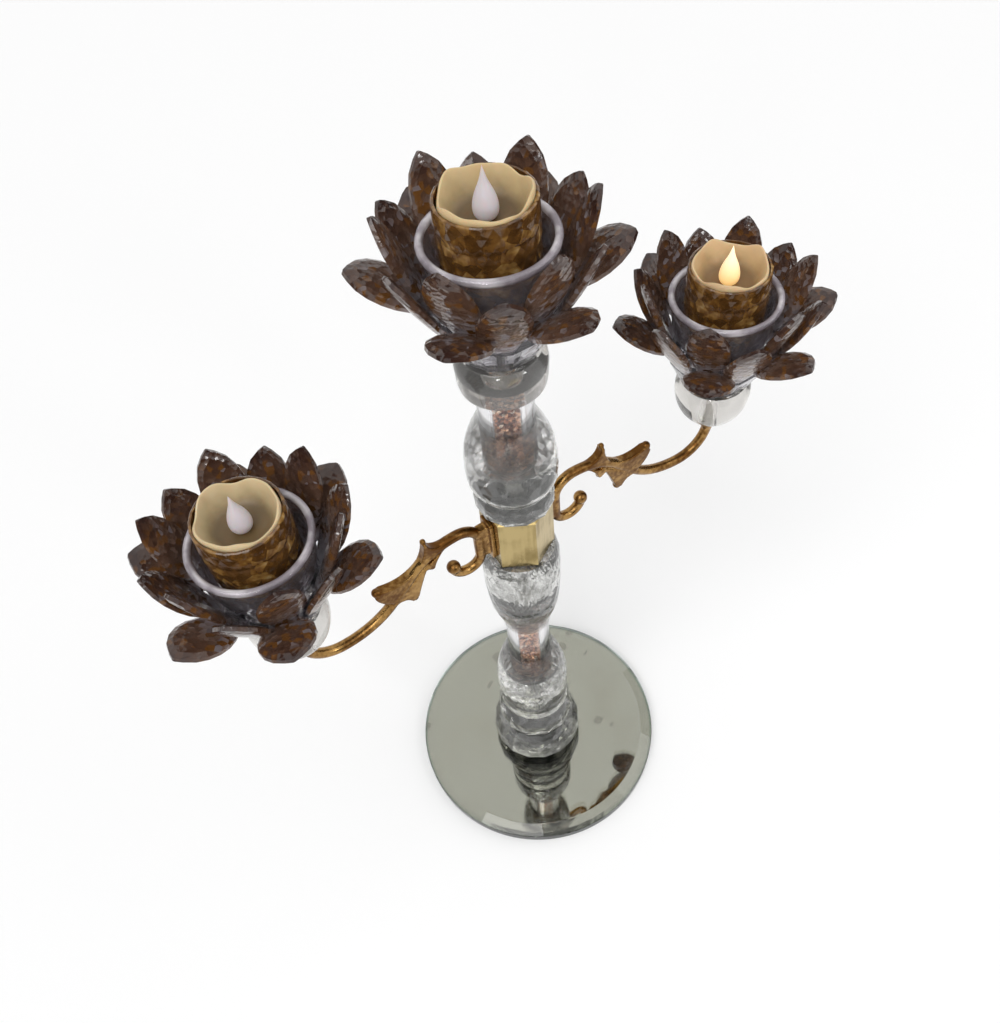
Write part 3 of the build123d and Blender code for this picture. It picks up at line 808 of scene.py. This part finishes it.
for head, seat in seats.items():
    amber_glass, place = finish(f"amber_glass_{head}", seat, IOR=1.52, Transmission_Weight=0.4)
    dents, dent_lot = cells(place, 0.0052)
    dapple_and_glints = between(0.4 * dent_lot + noise(place, 210.0), 0.35, 1.15)
    # Amber tone over the dents; the ramp's palest, goldest end is painted glints.
    amber_ramp = [
        (0.0, (0.10, 0.042, 0.010)), (0.55, (0.24, 0.11, 0.025)), (0.85, (0.50, 0.28, 0.08)),
        (1.0, (0.82, 0.60, 0.28)),
    ]
    vary(
        amber_glass,
        Base_Color=dapple_and_glints.node("ValToRGB", {"stops": amber_ramp}, {"Fac": dapple_and_glints}),
        Roughness=0.08 + 0.1 * dent_lot,
        Normal=bumped(dents, 0.0008, 0.5),
    )
    cup = half_turned(cup_rings, 24, hollow=False)
    bmesh.ops.translate(cup, verts=cup.verts, vec=seat)
    settle(f"hammered_cup_{head}", cup, amber_glass, f"cup_{head}", [f"votive_cup_{head}"], 5)

# Candle: a flameless tealight. Its ivory shell is moulded with a melted rim that dips and rises, and a well
# that slopes to the flame.
shell_outline = [
    (17.5, 32.2), (18.9, 32.2), (18.9, 45.0), (18.9, 58.0), (18.9, 66.0), (18.9, 71.0), (19.0, 75.0),
    (19.2, 78.0), (19.2, 79.4), (18.8, 80.1), (18.1, 80.0), (17.5, 78.6), (16.7, 75.8), (15.8, 73.2),
    (14.8, 70.8), (13.6, 68.6), (11.6, 67.0), (8.0, 66.3), (2.5, 66.0), (2.5, 64.4), (12.0, 64.4),
    (17.4, 63.4), (17.5, 62.0), (17.5, 45.0),
]
# Shell colours: the well is darker than the brim as painted shade, and the right shell, whose flame is on, is
# painted warmer and brighter as painted glow.
shell_shade_and_glow = {
    "top": ((0.14, 0.088, 0.036, 1), (0.62, 0.47, 0.25, 1)),
    "right": ((0.20, 0.12, 0.045, 1), (0.66, 0.48, 0.27, 1)),
    "left": ((0.16, 0.105, 0.045, 1), (0.64, 0.51, 0.30, 1)),
}
for number, (head, seat) in enumerate(seats.items()):
    shell = spun(
        [(radius / 1000, seat[2] + height / 1000) for radius, height in shell_outline], seat[:2], 120
    )
    for corner in shell.verts:
        angle = atan2(corner.co.y - seat[1], corner.co.x - seat[0]) + 1.9 * number
        droop = 0.0024 + 0.0013 * sin(3 * angle) + 0.0009 * sin(5 * angle + 1.2) + 0.0004 * sin(9 * angle)
        melt = min(max((corner.co.z - seat[2] - 0.066) / 0.0135, 0), 1) ** 1.5
        corner.co.z -= droop * melt
        pull = 1 - 0.05 * melt * (1 + sin(5 * angle + 1.2)) / 2
        corner.co.x = seat[0] + (corner.co.x - seat[0]) * pull
        corner.co.y = seat[1] + (corner.co.y - seat[1]) * pull
    wax, place = finish(f"ivory_wax_{head}", seat, Subsurface_Weight=0.25, Subsurface_Scale=0.004)
    drips = noise(place, 120.0, 3.0)
    # Painted shade in the well, fading out towards the brim.
    shaded_well_to_brim = between(around(place) + 0.003 * drips, 0.0125, 0.0195)
    vary(
        wax,
        Base_Color=blend(shaded_well_to_brim, *shell_shade_and_glow[head]),
        Roughness=0.35 + 0.2 * drips,
        Normal=bumped(drips, 0.0005, 0.5),
    )
    settle(f"candle_wax_{head}", shell, wax, f"candle_{head}", [f"candle_shell_{head}"], 50)

# Flame: a frosted lens over the LED. Only the right one is switched on.
for head, seat in seats.items():
    lit = head == "right"
    # Emission: the LED's glow in the right lens, and a faint painted glow in the unlit ones.
    lens_finish, place = finish(
        f"flame_lens_{head}",
        seat,
        Subsurface_Weight=0.3,
        Subsurface_Scale=0.003,
        Emission_Strength=0.55 if lit else 0.05,
    )
    height = between(place.node("SeparateXYZ", {}, {"Vector": place}, "Z"), 0.066, 0.088)
    # Base colour: the lit lens is painted yellow to cream, painted light from its LED; the unlit ones keep
    # their own lilac grey.
    if lit:
        tint_and_painted_glow = blend(height, (0.95, 0.66, 0.30, 1), (0.96, 0.84, 0.62, 1))
        glow = blend(height, (1.0, 0.62, 0.22, 1), (1.0, 0.82, 0.55, 1))
    else:
        tint_and_painted_glow = blend(height, (0.66, 0.63, 0.70, 1), (0.58, 0.53, 0.54, 1))
        glow = blend(height, (0.85, 0.82, 0.95, 1), (0.7, 0.66, 0.7, 1))
    frost = noise(place, 900.0)
    vary(lens_finish, Base_Color=tint_and_painted_glow, Emission_Color=glow, Roughness=0.25 + 0.2 * frost)
    dress(lens_finish, f"flame_{head}")

# Candle underside: white moulded base and twist-off door, black switch, and a plated coin cell behind them.
white_plastic, place = finish("white_plastic", Roughness=0.45)
grain = noise(place, 1800.0, 2.0)
vary(
    white_plastic,
    Base_Color=blend(grain, (0.78, 0.75, 0.69, 1), (0.84, 0.82, 0.77, 1)),
    Normal=bumped(grain, 0.00006),
)
black_plastic, place = finish("black_plastic", Roughness=0.4)
grain = noise(place, 1800.0, 2.0)
vary(
    black_plastic,
    Base_Color=blend(grain, (0.03, 0.03, 0.03, 1), (0.07, 0.07, 0.07, 1)),
    Normal=bumped(grain, 0.00006),
)
cell_can, place = finish("battery_can", Metallic=1.0)
turning = noise(place, 700.0, 2.0)
vary(
    cell_can,
    Base_Color=blend(turning, (0.60, 0.60, 0.60, 1), (0.76, 0.76, 0.75, 1)),
    Roughness=0.2 + 0.15 * turning,
)
for head in seats:
    dress(white_plastic, f"candle_base_{head}", f"battery_door_{head}")
    dress(black_plastic, f"switch_{head}")
    dress(cell_can, f"battery_{head}")
